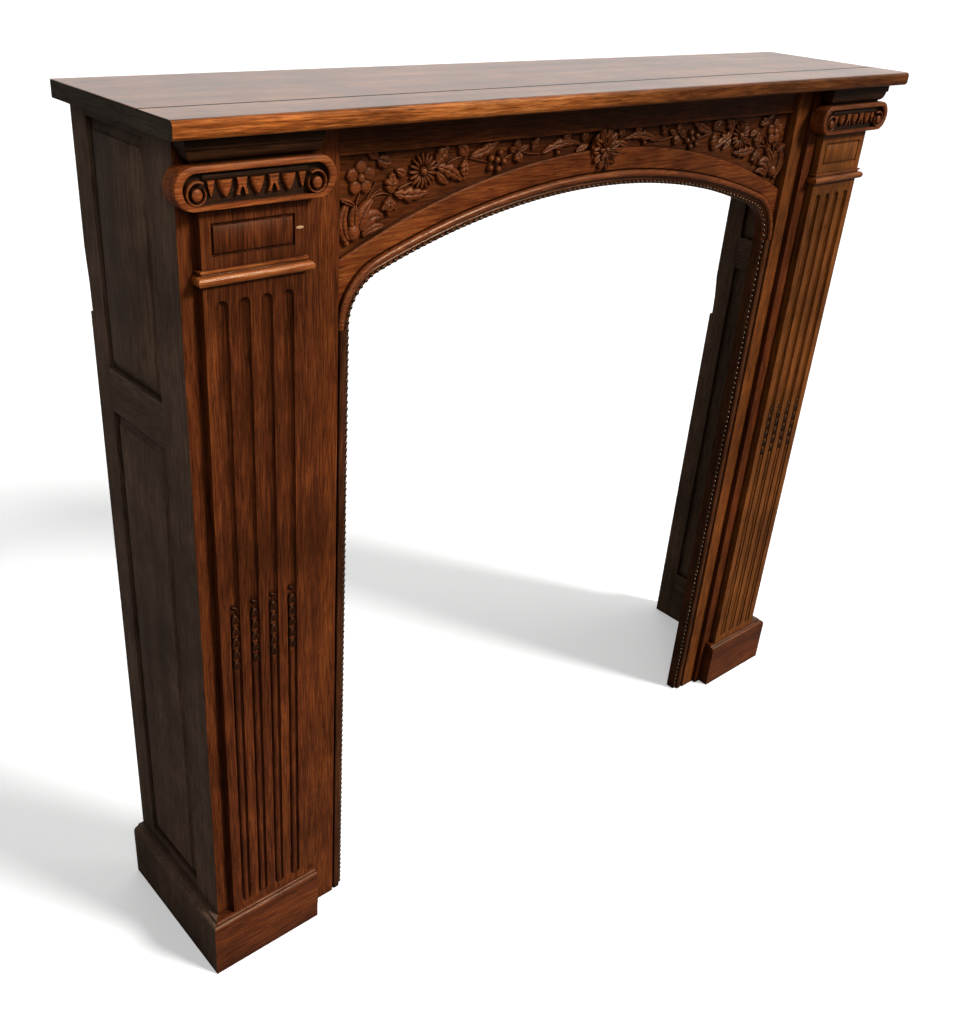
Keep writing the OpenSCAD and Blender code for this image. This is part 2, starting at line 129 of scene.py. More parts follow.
# light
light = {
    "sunFrom": (0.42, -0.74, 0.62),  # direction the light comes from
    "sunStrength": 3.05,
    "sunSize": 13.0,  # degrees across, for soft shadows
    "highFrom": (0.50, -0.25, 0.80),  # a broad window high on the right
    "highStrength": 0.55,
    "highSize": 34.0,
    "lampAt": (-1.15, -1.35, 1.75),  # metres, a soft lamp near the left leg
    "lampTarget": (-0.5, -0.1, 0.8),
    "lampPower": 6.0,
    "lampSize": 0.6,
    "airStrength": 0.14,
    "glowToward": (0.68, 0.73, 0.10),  # the bright end of the room, behind the shelf
    "glowEdge": (0.55, 0.95),  # cosine of the angle off glowToward where the glow starts and is full
    "glowStrength": 1.15,
}


def addLight(name, data, strength, toward, place=(0.0, 0.0, 0.0)):
    # toward points from the lit object to the light
    data.energy = strength
    lamp = bpy.data.objects.new(name, data)
    lamp.location = place
    lamp.rotation_mode = "QUATERNION"
    lamp.rotation_quaternion = Vector(toward).to_track_quat("Z", "Y")
    scene.collection.objects.link(lamp)


def makeSuns(l):
    for name, key in (("softSun", "sun"), ("highWindow", "high")):
        data = bpy.data.lights.new(name, "SUN")
        data.angle = math.radians(l[key + "Size"])
        addLight(name, data, l[key + "Strength"], l[key + "From"])


def makeLamp(l):
    data = bpy.data.lights.new("nearLamp", "AREA")
    data.size = l["lampSize"]
    addLight("nearLamp", data, l["lampPower"], Vector(l["lampAt"]) - Vector(l["lampTarget"]), l["lampAt"])


def makeAir(l):
    # air + glow * smoothstep(glowEdge, direction . glowToward)
    world = bpy.data.worlds.new("studioAir")
    scene.world = world
    world.use_nodes = True
    t = world.node_tree
    look = addNode(t, "TexCoord").outputs["Generated"]
    facing = addNode(t, "VectorMath", [("operation", "DOT_PRODUCT")], i0=look)
    facing.inputs[1].default_value = Vector(l["glowToward"]).normalized()
    glow = mapRange(t, facing.outputs["Value"], *l["glowEdge"], l["airStrength"],
                    l["airStrength"] + l["glowStrength"], "SMOOTHSTEP")
    back = t.nodes["Background"]
    back.inputs["Color"].default_value = (1.0, 1.0, 1.0, 1.0)
    t.links.new(glow, back.inputs["Strength"])


makeSuns(light)
makeLamp(light)
makeAir(light)

# materials


# old waxed oak: ring-porous, so fine dark pore streaks run with the grain over broader
# brown and orange bands; handled edges are smoother, and painted shade darkens the recesses
oak = {
    "grainStretch": 0.045,  # streaks are over twenty times as long as wide
    "bend": 2.6,  # per metre, slow waves in the grain
    "bendReach": 0.018,  # metres
    "streak": 480.0,  # per metre: streaks about 2 mm wide
    "band": 42.0,  # growth bands about 24 mm wide on flat-sawn boards
    "bandShare": 0.30,
    "spread": 0.21,  # the colours cover the noise's middle, this far to each side
    "pore": 1050.0,  # pores and short cracks about 1 mm wide and 20 mm long
    "poreEdge": (0.34, 0.43),
    "poreTone": 0.42,
    "blotch": 9.0,
    "blotchEdge": (0.34, 0.66),
    "blotchTone": (0.66, 1.25),
    "recessShadeReach": 0.012,  # metres, reach of the painted shade in recesses
    "recessShadeEdge": (0.25, 0.95),
    "falloffAcross": (-0.55, 0.15),  # metres in X, where the painted light falls off, from the left end to past the middle
    "sunkEdge": 0.001,  # metres, half the depth over which the painted shade of a sunk ground sets in
    "sootRise": (1.03, 1.06),  # metres in Z, where the painted shadow under the shelf sets in
    "seamHalf": (0.0012, 0.0030),  # metres, half width of an open glue line and of its soft edge
    "seamTone": 0.10,
    "roughSpread": (-0.08, 0.14),  # added to the roughness at the streak noise's low and high end
    "bumpStrength": 0.6,
}


def grainCoord(t, coord, grain, seed):
    # a slow noise bends the place, and a small scale along the grain draws the noises out
    waves = addNoise(t, coord, oak["bend"], 2.0)
    bent = addNode(t, "VectorMath", [("operation", "MULTIPLY_ADD")], i0=waves.outputs["Color"], i2=coord)
    bent.inputs[1].default_value = [oak["bendReach"]] * 3
    stretch = [1.0, 1.0, 1.0]
    stretch["xyz".index(grain)] = oak["grainStretch"]
    return addNode(t, "Mapping", [("Location", (seed, seed * 0.7, seed * 1.3)), ("Scale", stretch)],
                   Vector=bent.outputs[0]).outputs[0]


def seamTone(t, coord, seam):
    # dark within seamHalf of Y = seam
    away = addNode(t, "Math", [("operation", "SUBTRACT")], i0=axisOf(t, coord, "Y"))
    away.inputs[1].default_value = seam
    away = addNode(t, "Math", [("operation", "ABSOLUTE")], i0=away.outputs[0])
    return mapRange(t, away.outputs[0], *oak["seamHalf"], oak["seamTone"], 1.0)


def paintedLightTones(t, coord, lightFalloff, sunk, soot):
    # three optional tones: painted light that falls off from the left end to past the middle, given as its
    # tones there;
    # painted shade on a sunk ground, (Y, tone), darker deeper than Y;
    # and the tone of the painted shadow under the shelf
    tones = []
    if lightFalloff is not None:
        tones.append(mapRange(t, axisOf(t, coord, "X"), *oak["falloffAcross"], *lightFalloff))
    if sunk is not None:
        deep, tone = sunk
        start, end = deep - oak["sunkEdge"], deep + oak["sunkEdge"]
        tones.append(mapRange(t, axisOf(t, coord, "Y"), start, end, 1.0, tone))
    if soot is not None:
        tones.append(mapRange(t, axisOf(t, coord, "Z"), *oak["sootRise"], 1.0, soot))
    return tones


def makeOak(name, grain, colours, seed, roughness=0.42, gloss=0.18, contrast=1.0, bump=0.00035, recessShade=0.7,
            shine="#ffd9b0", lightFalloff=None, sunk=None, soot=None, seam=None):
    # colours are dark, middle and pale; the recess setting is how far painted shade darkens the recesses
    mat = bpy.data.materials.new(name)
    mat.use_nodes = True
    t = mat.node_tree
    shader = t.nodes["Principled BSDF"]
    coord = addNode(t, "TexCoord").outputs["Object"]
    along = grainCoord(t, coord, grain, seed)
    streak = addNoise(t, along, oak["streak"], 5.0, 0.62).outputs["Fac"]
    band = addNoise(t, along, oak["band"], 3.0).outputs["Fac"]
    pore = addNoise(t, along, oak["pore"], 2.0).outputs["Fac"]
    blotch = addNoise(t, coord, oak["blotch"], 4.0, 0.6).outputs["Fac"]
    both = addNode(t, "Mix", [("data_type", "FLOAT"), ("Factor", oak["bandShare"])], i2=streak, i3=band)
    reach = oak["spread"] / contrast
    ramp = addNode(t, "ValToRGB", Fac=mapRange(t, both.outputs[0], 0.5 - reach, 0.5 + reach))
    dark, mid, pale = (toLinear(c) for c in colours)
    setRamp(ramp, [(0.0, dark), (0.45, mid), (1.0, pale)])

    # base colour = ramp * every tone
    # painted shade: ambient occlusion darkens the recesses
    hollowShade = addNode(t, "AmbientOcclusion", [("samples", 6), ("Distance", oak["recessShadeReach"])]).outputs["AO"]
    poreTone = mapRange(t, pore, *oak["poreEdge"], oak["poreTone"], 1.0)
    tones = [poreTone, mapRange(t, hollowShade, *oak["recessShadeEdge"], 1.0 - recessShade, 1.0)]
    tones += paintedLightTones(t, coord, lightFalloff, sunk, soot)
    if seam is not None:
        tones.append(seamTone(t, coord, seam))
        dulled = mapRange(t, tones[-1], oak["seamTone"], 1.0, 0.0, gloss)
        t.links.new(dulled, shader.inputs["Specular IOR Level"])
    shade = mapRange(t, blotch, *oak["blotchEdge"], *oak["blotchTone"])
    for tone in tones:
        shade = times(t, shade, tone)
    colour = addNode(t, "VectorMath", [("operation", "SCALE")], i0=ramp.outputs["Color"], Scale=shade)
    t.links.new(colour.outputs[0], shader.inputs["Base Color"])

    rough = mapRange(t, streak, 0.0, 1.0, *(roughness + k for k in oak["roughSpread"]))
    t.links.new(rough, shader.inputs["Roughness"])
    bumps = addNode(t, "Bump", [("Strength", oak["bumpStrength"]), ("Distance", bump)],
                    Height=times(t, streak, poreTone))
    t.links.new(bumps.outputs[0], shader.inputs["Normal"])
    shader.inputs["IOR"].default_value = 1.5
    shader.inputs["Specular IOR Level"].default_value = gloss
    shader.inputs["Specular Tint"].default_value = toLinear(shine)
    return mat


frontOak = ("#2a1105", "#552610", "#82431c")
edgeOak = ("#361708", "#733516", "#a45c28")
# the side faces' tone, lighter and greyer than the front's: painted light of the grey sky and sheen on them
sideOak = ("#35271c", "#664f3f", "#8d7460")
shelfOak = ("#4c2a15", "#7d4b2b", "#a87347")

finish = {
    "pilasterLeft": makeOak("waxed oak pilaster left", "z", frontOak, 1.3, contrast=1.1),
    # the right leg's pilaster: a lighter copy of the same oak with less shade in its flutes, painted light
    "pilasterRight": makeOak("pilaster right, painted light", "z", ("#381c0b", "#703d17", "#9c5b28"), 7.7,
                             recessShade=0.35),
    "stile": makeOak("waxed oak outer stile", "z", frontOak, 3.1),
    "innerStile": makeOak("waxed oak inner stile", "z", ("#2e1206", "#5f2b10", "#8c4b20"), 5.2),
    # the right inner stile: a lighter copy of the inner stile's oak, painted light
    "farStile": makeOak("inner stile right, painted light", "z", ("#34180a", "#6c3815", "#985727"), 5.9, recessShade=0.5),
    # the frieze and the carving below: painted light falling off to the right and the painted shadow under
    # the shelf, and on the frieze painted shade on its sunk ground
    "frieze": makeOak("waxed oak frieze", "x", edgeOak, 2.4, roughness=0.36,
                      lightFalloff=(1.05, 0.74), sunk=(-0.070, 0.62), soot=0.42),
    "carving": makeOak("carved oak", "x", edgeOak, 9.4, roughness=0.4, gloss=0.3, contrast=0.8, recessShade=0.9,
                       lightFalloff=(1.1, 0.62), soot=0.7),
    # darker than the carving: painted shade of the flutes the bellflowers hang in
    "husk": makeOak("bellflowers, painted flute shade", "z", ("#180a04", "#3c1c0c", "#66361a"), 10.6, roughness=0.34,
                    gloss=0.4, recessShade=0.9),
    "edge": makeOak("waxed oak mouldings", "x", edgeOak, 4.4, roughness=0.3, gloss=0.5, recessShade=0.88),
    # painted light falling off to the right
    "collar": makeOak("rubbed oak collar", "x", ("#52220e", "#95491d", "#cf7d3d"), 4.9, roughness=0.3,
                      gloss=0.5, recessShade=0.9, lightFalloff=(1.05, 0.65)),
    "bead": makeOak("dark waxed beads", "x", ("#140903", "#2a1509", "#4a2812"), 5.5, roughness=0.26,
                    gloss=0.9),
    "jamb": makeOak("waxed oak jamb", "z", ("#1e0d06", "#40200f", "#6a3b1e"), 6.1, recessShade=0.85),
    # painted light falling off to the right, and strong painted shade in the recesses
    "capital": makeOak("carved oak capital", "x", ("#3a1808", "#7d3b18", "#b2642e"), 8.3, gloss=0.35,
                       recessShade=0.92, lightFalloff=(1.05, 0.7)),
    # near-black: painted shade for the capitals' sunk ground
    "recess": makeOak("capital ground, painted shade", "x", ("#120804", "#26130a", "#40220f"), 8.8, gloss=0.3),
    "plinth": makeOak("waxed oak plinth", "x", frontOak, 11.9, roughness=0.36, gloss=0.3),
    "side": makeOak("side oak, painted skylight", "z", sideOak, 13.0, roughness=0.5, contrast=0.8, shine="#ffe8d8"),
    "sideRail": makeOak("side rail oak, painted skylight", "y", sideOak, 14.0, roughness=0.5, contrast=0.8,
                        shine="#ffe8d8"),
    # near-black: painted shadow of the shelf on the imposts
    "impost": makeOak("impost, painted shelf shadow", "x", ("#160a04", "#2c170b", "#4a2b17"), 15.0),
    "shelf": makeOak("polished oak shelf", "x", shelfOak, 16.0, roughness=0.3, gloss=0.5, contrast=1.3,
                     bump=0.0002, shine="#fff0e2", seam=-0.062),
    # the shelf's front faces: lighter at the left end and darker to the right, painted light fall-off
    "shelfFront": makeOak("shelf front, painted light fall-off", "x", ("#451f0b", "#88461a", "#bd743a"), 16.6,
                          roughness=0.4, contrast=1.2, lightFalloff=(1.75, 0.42)),
    "shelfEnd": makeOak("dull oak end grain", "y", ("#221b14", "#4a3f34", "#6c5f51"), 17.0,
                        roughness=0.55, contrast=0.6, shine="#ffe8d8"),
    "filler": makeOak("pale filler", "x", ("#a8734a", "#c99468", "#e3b68c"), 20.0, recessShade=0.1),
}
print("finishes made:", len(finish))

# mesh helpers, in millimetres


def loftShell(rings, closePath=False):
    # ring i, point j -> rings[i, j]; every ring closes on itself, and flat caps or a closed path end it
    n, m = rings.shape[:2]
    i, j = np.meshgrid(np.arange(n if closePath else n - 1), np.arange(m), indexing="ij")
    a, b = i * m + j, i * m + (j + 1) % m
    c, d = ((i + 1) % n) * m + (j + 1) % m, ((i + 1) % n) * m + j
    faces = np.stack([a, b, c, d], -1).reshape(-1, 4).tolist()
    if not closePath:
        faces += [list(range(m)), list(range((n - 1) * m, n * m))]
    return rings.reshape(-1, 3), faces


def joinShells(shells):
    points, faces, start = [], [], 0
    for p, f in shells:
        points.append(p)
        faces += [[k + start for k in face] for face in f]
        start += len(p)
    return np.concatenate(points), faces


def makePiece(name, shells, material, replaced=(), smooth=38.0):
    # points in millimetres become metres; doubled points are merged and faces turned outwards
    points, faces = joinShells(shells)
    mesh = bpy.data.meshes.new(name)
    mesh.from_pydata((points * 0.001).tolist(), [], faces)
    tidyMesh(mesh, smooth)
    mesh.materials.append(material)
    piece = bpy.data.objects.new(name, mesh)
    scene.collection.objects.link(piece)
    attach(piece, "root")
    if replaced:
        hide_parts(*replaced)


def tidyMesh(mesh, smooth):
    work = bmesh.new()
    work.from_mesh(mesh)
    bmesh.ops.remove_doubles(work, verts=work.verts, dist=2e-6)
    bmesh.ops.dissolve_degenerate(work, dist=1e-7, edges=work.edges)
    bmesh.ops.recalc_face_normals(work, faces=work.faces)
    work.to_mesh(mesh)
    work.free()
    mesh.polygons.foreach_set("use_smooth", np.ones(len(mesh.polygons), bool))
    mesh.set_sharp_from_angle(angle=math.radians(smooth))


rubbing = {
    "sharp": 30.0,  # degrees, edges sharper than this stay creased
    "rounded": 35.0,  # and edges sharper than this are rubbed round
    "endFace": 0.9,  # a face whose normal leans this far out in X is an end
    "roomFace": -0.4,  # and one that leans past this in Y faces the room
}


def wornCopy(node, material, wear, others=()):
    # the node's own surface with its doubled points merged, and its sharp edges rubbed round by wear mm
    mesh = nodes[node].data.copy()
    mesh.name = node + "Worn"
    mesh.materials.clear()
    tidyMesh(mesh, rubbing["sharp"])
    mesh.materials.append(material)
    if others:
        # the first of the others is for faces that look out past an end, the second for faces
        # towards the room
        for other in others:
            mesh.materials.append(other)
        normals = np.zeros(3 * len(mesh.polygons))
        mesh.polygons.foreach_get("normal", normals)
        n = normals.reshape(-1, 3)
        middles = np.zeros_like(normals)
        mesh.polygons.foreach_get("center", middles)
        outwards = n[:, 0] * np.sign(middles[::3])
        index = np.where(outwards > rubbing["endFace"], 1, np.where(n[:, 1] < rubbing["roomFace"], 2, 0))
        mesh.polygons.foreach_set("material_index", index.astype(np.int32))
    piece = bpy.data.objects.new(node + "Worn", mesh)
    scene.collection.objects.link(piece)
    rub = piece.modifiers.new("rubbedEdges", "BEVEL")
    rub.width, rub.segments, rub.limit_method = wear * 0.001, 2, "ANGLE"
    rub.angle_limit = math.radians(rubbing["rounded"])
    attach(piece, "root")
    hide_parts(node)


# arch and frieze board

arch = {
    "halfSpan": 388.0,
    "spring": 861.0,
    "rise": 116.0,
    "cornerRadius": 60.0,
    "boardFace": -74.0,
    "groundFace": -67.0,
    "boardBack": -58.0,
    "halfBoard": 407.0,
    "quirk": 19.8,  # the band's face starts here, a dark line outside the edge moulding
    "quirkSlope": 0.6,
    "quirkDepth": 3.0,
    "bandArris": (1.6, 1.4),  # across and deep, rubbed off the band's outer edge
    "bandCrown": 1023.0,
    "bandFall": 88.0,
    "borderLine": 1050.0,
    "borderCove": 0.6,  # height of the cove under the border, as a share of the ground's depth
    "lapUnder": 8.0,  # the ground runs on this far behind the band
    "top": 1082.0,
}
cornerX = arch["halfSpan"] - arch["cornerRadius"]
crownRadius = (cornerX**2 + arch["rise"] ** 2 - arch["cornerRadius"] ** 2) / (
    2 * (arch["rise"] - arch["cornerRadius"])
)
crownZ = arch["spring"] + arch["rise"] - crownRadius
cornerTurn = math.pi / 2 - math.asin(cornerX / (crownRadius - arch["cornerRadius"]))
bandRadius = (arch["halfBoard"] ** 2 + arch["bandFall"] ** 2) / (2 * arch["bandFall"])
bandCentre = arch["bandCrown"] - bandRadius


def archPoint(turn, out):
    # P(turn) = arc centre + (arc radius + out) * (cos turn, sin turn); corners below cornerTurn
    corner = (turn < cornerTurn) | (turn > math.pi - cornerTurn)
    cx = np.where(corner, np.where(turn < math.pi / 2, cornerX, -cornerX), 0.0)
    cz = np.where(corner, arch["spring"], crownZ)
    r = np.where(corner, arch["cornerRadius"], crownRadius) + out
    return cx + r * np.cos(turn), cz + r * np.sin(turn)


def archTurns(cornerSteps=14, crownSteps=90):
    return np.concatenate([
        np.linspace(0, cornerTurn, cornerSteps, endpoint=False),
        np.linspace(cornerTurn, math.pi - cornerTurn, crownSteps, endpoint=False),
        np.linspace(math.pi - cornerTurn, math.pi, cornerSteps + 1),
    ])


def bandTop(x):
    # z = centre + sqrt(R^2 - x^2)
    return bandCentre + np.sqrt(bandRadius**2 - x**2)


def ringsFrom(x, y, z):
    return np.stack(np.broadcast_arrays(x, y, z), -1)


def bandShell():
    # from the opening's edge, straight out along its normal to the band's upper arc or the board's end
    turn = archTurns(40, 160)
    x0, z0 = archPoint(turn, 0.0)
    c, s = np.cos(turn), np.sin(turn)
    toEnd = (arch["halfBoard"] - np.abs(x0)) / np.maximum(np.abs(c), 1e-6)
    b = x0 * c + (z0 - bandCentre) * s
    toArc = -b + np.sqrt(b**2 - (x0**2 + (z0 - bandCentre) ** 2 - bandRadius**2))
    reach = np.minimum(toEnd, toArc)
    quirk = np.full_like(reach, arch["quirk"])
    start, (across, deep) = quirk - arch["quirkSlope"], arch["bandArris"]
    out = np.stack([quirk * 0, quirk * 0, start, quirk, reach - across, reach, reach], -1)
    back, face, floor = arch["boardBack"], arch["boardFace"], arch["boardFace"] + arch["quirkDepth"]
    y = np.array([back, floor, floor, face, face, face + deep, back])
    return loftShell(ringsFrom(x0[:, None] + out * c[:, None], y, z0[:, None] + out * s[:, None]))


def slabShell(x, profile):
    # the closed profile (y, z) at each x, z given as an array per station
    return loftShell(ringsFrom(x[:, None], profile[0], profile[1]))


def friezeBoard():
    # the band round the opening, the sunk ground above it, and the plain border with a small cove
    x = np.linspace(-arch["halfBoard"], arch["halfBoard"], 61)
    back, face, ground, line = (arch[k] for k in ("boardBack", "boardFace", "groundFace", "borderLine"))
    low = bandTop(x) - arch["lapUnder"]
    high = np.full_like(x, line + 5)
    groundY = np.array([back - 1.0, ground, ground, back - 1.0])
    sunkBoard = slabShell(x, (groundY, np.stack([low, low, high, high], -1)))
    # cove: Y = ground + rise * sin a, Z = line + share * rise * (1 - cos a)
    a = np.linspace(0, math.pi / 2, 6)
    coveY = ground + (face - ground) * np.sin(a)
    coveZ = line + arch["borderCove"] * (face - ground) * (1 - np.cos(a))
    y = np.concatenate([[back, ground], coveY, [face, back]])
    z = np.concatenate([[line - 1, line - 1], coveZ, [arch["top"], arch["top"]]])
    border = slabShell(x[[0, -1]], (y, np.broadcast_to(z, (2, len(z)))))
    return [bandShell(), sunkBoard, border]


makePiece("friezeBoard", friezeBoard(), finish["frieze"], ["arch_panel"])
print("frieze board made")

# carving

relief = {
    "edge": 1.6,  # mm, height of a leaf's rim over the ground
    "sunk": -1.2,  # underside, below the ground's face
    "lobeDepth": 0.38,
}


def sprigShell(path, width, height, tips=(0.75, 0.75), groove=0.3, veins=0.0, lobes=0, lift=0.0, cup=0.0,
               across=13):
    # path P(u), u from 0 at the stalk to 1 at the tip, and v from -1 to 1 across;
    # half width w(u) = width/2 * shape(u) * teeth(u), where tips rounds the shape's two ends;
    # height h(u, v) = edge + height * (1/4 + 3/4 shape(u)) * sqrt(1 - v^2), less a groove along
    # v = 0, with side veins, and lifted towards the tip by lift * u^2
    u = np.linspace(0, 1, len(path))
    tangent = np.gradient(path, axis=0)
    tangent /= np.maximum(np.linalg.norm(tangent, axis=1, keepdims=True), 1e-9)
    normal = np.stack([-tangent[:, 1], tangent[:, 0]], -1)
    shape = np.clip(u / 0.45, 0, 1) ** tips[0] * np.clip((1 - u) / 0.55, 0, 1) ** tips[1]
    shape = shape / shape.max()
    teeth = 1 - relief["lobeDepth"] * (1 - (u * lobes) % 1) ** 1.4 if lobes else 1.0
    half = width / 2 * shape * teeth
    v = np.linspace(-1, 1, across)
    domed = np.sqrt(np.maximum(1 - v**2, 0)) * (1 - cup * (1 - v**2))
    shape, u = shape[:, None], u[:, None]
    closing = np.minimum(shape * 4, 1)
    h = relief["edge"] * np.minimum(shape * 3, 1)
    h = h + height * (0.25 + 0.75 * shape) * closing * domed
    h = h - groove * height * np.exp(-((v / 0.14) ** 2)) * shape
    h = h + veins * height * np.cos(2 * np.pi * (5 * u - 0.9 * np.abs(v))) * shape * (1 - v**2)
    h = h + lift * u**2 * closing
    top = np.stack([path[:, None, 0] + normal[:, None, 0] * half[:, None] * v,
                    path[:, None, 1] + normal[:, None, 1] * half[:, None] * v, h], -1)
    under = top[:, [-1, 0]].copy()
    under[..., 2] = relief["sunk"]
    return loftShell(np.concatenate([top, under], 1))


def domeShell(rx, ry, height, steps=8, around=20, edge=None, lobes=0, lobeDepth=0.0):
    # r from 0 at the middle to 1 at the rim; z = edge + height * sqrt(1 - r^2), closed by a flat underside
    edge = relief["edge"] if edge is None else edge
    r = np.sin(np.linspace(0, math.pi / 2, steps))
    a = np.linspace(0, 2 * math.pi, around, endpoint=False)
    wave = 1 + lobeDepth * np.cos(lobes * a)
    r = np.concatenate([r, [1.0, 0.0]])
    z = np.concatenate([edge + height * np.cos(np.linspace(0, math.pi / 2, steps)), [relief["sunk"]] * 2])
    x = rx * r[:, None] * np.cos(a) * wave
    y = ry * r[:, None] * np.sin(a) * wave
    return loftShell(ringsFrom(x, y, z[:, None]))


def straight(length, steps):
    # x from -length/2 to length/2
    x = np.linspace(-length / 2, length / 2, steps)
    return np.stack([x, 0 * x], -1)


def bezier(a, b, c, steps=21):
    # P(t) = (1-t)^2 a + 2t(1-t) b + t^2 c
    a, b, c = np.array([a, b, c], float)
    t = np.linspace(0, 1, steps)[:, None]
    return (1 - t) ** 2 * a + 2 * t * (1 - t) * b + t**2 * c


def turned(shell, degrees, x=0.0, y=0.0, raiseBy=0.0):
    a = math.radians(degrees)
    p = shell[0]
    q = np.stack([x + p[:, 0] * math.cos(a) - p[:, 1] * math.sin(a),
                  y + p[:, 0] * math.sin(a) + p[:, 1] * math.cos(a), p[:, 2] + raiseBy], -1)
    return q, shell[1]


def onBoard(shells, x, z, side, base):
    # local (across, up, out) -> board: X = side * (x + across), Y = base - out, Z = z + up
    return [(np.stack([side * (x + p[:, 0]), base - p[:, 2], z + p[:, 1]], -1), f) for p, f in shells]


def leaf(base, tip, width, bend, lobes, height):
    # from base to tip in the plane of the board, bowed to its left by bend
    base, tip = np.array(base, float), np.array(tip, float)
    ahead = (tip - base) / np.linalg.norm(tip - base)
    middle = (base + tip) / 2 + 2 * bend * np.array([-ahead[1], ahead[0]])
    path = bezier(base, middle, tip, 33 if lobes else 21)
    return sprigShell(path, width * 1.22, height * 0.85, (0.5, 0.7), groove=0.4, veins=0.12, lobes=lobes,
                      lift=1.2)


def petalRing(petal, count, radius, start, step, base=0.0):
    # petals at even angles round the middle, every second one raised by step
    shells = []
    for k in range(count):
        degrees = start + 360 * k / count
        a = math.radians(degrees)
        shells.append(turned(petal, degrees, radius * math.cos(a), radius * math.sin(a),
                             base + step * (k % 2)))
    return shells


# petal length, petal width, the petals' distance from the middle and the bud's radius,
# as shares of the blossom's own radius
blossom = {"flower": (0.82, 0.86, 0.62, 0.30), "daisy": (0.78, 0.22, 0.60, 0.26)}


def flower(radius, petals):
    length, width, away, bud = (radius * share for share in blossom["flower"])
    petal = sprigShell(straight(length, 13), width, 4.0, (0.45, 0.35), groove=0.10, cup=0.18)
    return petalRing(petal, petals, away, 18.0, 0.35) + [domeShell(bud, bud, 5.2, 6, 14)]


def daisy(radius, petals):
    length, width, away, bud = (radius * share for share in blossom["daisy"])
    petal = sprigShell(straight(length, 11), width, 3.6, (0.8, 0.3), groove=0.15)
    return petalRing(petal, petals, away, 0.0, 0.5) + [domeShell(bud, bud, 6.2, 6, 14)]


def rosette():
    # two rings of ribbed leaves round a bud
    outer = sprigShell(straight(17, 21), 12, 4.0, (0.35, 0.3), groove=0.7, lift=1.5)
    inner = sprigShell(straight(13, 17), 7.5, 4.0, (0.5, 0.3), groove=0.7, lift=2.0)
    shells = [domeShell(24, 24, 2.0, 8, 30)]
    shells += petalRing(outer, 11, 16, 18.0, 0.0, base=1.0)
    shells += petalRing(inner, 8, 9, 0.0, 0.0, base=3.4)
    return shells + [domeShell(5.0, 5.5, 7.0, 6, 16)]


# one half of the garland, from the stile to the middle, in millimetres from the middle and the floor;
# each leaf is its base, tip, width, bow, lobes and height
leaves = [
    ((350, 1038), (366, 1048), 10, 0, 0, 3.5),
    ((352, 1038), (332, 1033), 17, 1, 3, 4.8),
    ((333, 1000), (331, 1023), 19, 0, 3, 5.2),
    ((329, 1000), (277, 998), 16, 3, 4, 5.0),
    ((334, 998), (335, 975), 12, 0, 0, 5.6),
    ((334, 997), (347, 984), 9, -3, 0, 5.0),
    ((334, 997), (322, 983), 9, 3, 0, 5.0),
    ((312, 1018), (328, 1025), 10, 0, 0, 4.5),
    ((271, 1027), (253, 1046), 17, 0, 3, 4.8),
    ((270, 1023), (229, 1003), 16, -3, 4, 5.0),
    ((269, 1018), (250, 1003), 9, 2, 0, 3.6),
    ((225, 1031), (240, 1045), 14, 1, 0, 4.8),
    ((221, 1030), (175, 1048), 14, 3, 3, 4.8),
    ((229, 1028), (228, 1003), 14, 0, 3, 5.2),
    ((151, 1030), (160, 1036), 8, 0, 0, 5.0),
    ((149, 1031), (147, 1047), 10, 0, 0, 4.4),
    ((148, 1030), (142, 1017), 13, 0, 0, 5.4),
    ((146, 1030), (129, 1037), 8, 0, 0, 3.6),
    ((123, 1030), (113, 1047), 11, 0, 2, 3.6),
    ((107, 1024), (38, 1031), 13, -7, 4, 4.6),
    ((71, 1035), (60, 1047), 12, 0, 0, 4.6),
    ((36, 1034), (31, 1048), 12, 0, 0, 4.2),
    ((48, 1023), (25, 1030), 9, 0, 0, 4.0),
]

# thin stalks: start, pull, end and width
stalks = [
    ((374, 985), (366, 993), (351, 1017), 2.6),
    ((361, 999), (354, 1003), (345, 1007), 2.0),
    ((363, 996), (348, 1005), (334, 999), 2.8),
    ((380, 984), (378, 996), (373, 1006), 3.0),
    ((324, 1003), (312, 1008), (300, 1010), 2.6),
    ((273, 1024), (266, 1027), (258, 1026), 2.6),
    ((256, 1024), (240, 1033), (224, 1030), 2.6),
    ((222, 1029), (208, 1025), (192, 1022), 2.4),
    ((170, 1022), (160, 1027), (149, 1030), 2.4),
    ((143, 1030), (124, 1025), (106, 1025), 2.4),
]

# round fruit: place and radius
fruit = [
    (391, 953.5, 3.4),
    (189, 1026, 4.2),
    (179, 1023, 4.2),
    (169, 1021, 4.2),
    (189, 1015, 4.2),
    (177, 1013, 4.4),
    (175, 1031, 4.0),
    (80, 1024.5, 3.2),
]

# the acanthus cup the garland grows from: path, width, height and rounding of base and tip
horns = [
    ((388, 954), (407, 973), (391, 996), 16, 6.0, (0.3, 0.3)),
    ((382, 992), (393, 999), (403, 1001), 9, 7.8, (0.3, 0.7)),
    ((381, 964), (384, 980), (381, 994), 15, 5.2, (0.3, 0.35)),
    ((376, 966), (376, 984), (357, 998), 19, 6.2, (0.3, 0.5)),
    ((373, 963), (362, 986), (342, 976), 21, 5.6, (0.3, 0.6)),
    ((371, 958), (356, 970), (338, 966), 13, 4.2, (0.3, 0.7)),
]

garland = {
    "cup": (382, 964),
    "cupRadius": (8.8, 9.6),
    "cupRise": 6.4,
    "flower": (373, 1020),
    "flowerSize": (18.5, 5),  # radius and petals
    "daisy": (289, 1020),
    "daisySize": (20.5, 17),
    "rosetteHeight": 1023,
}


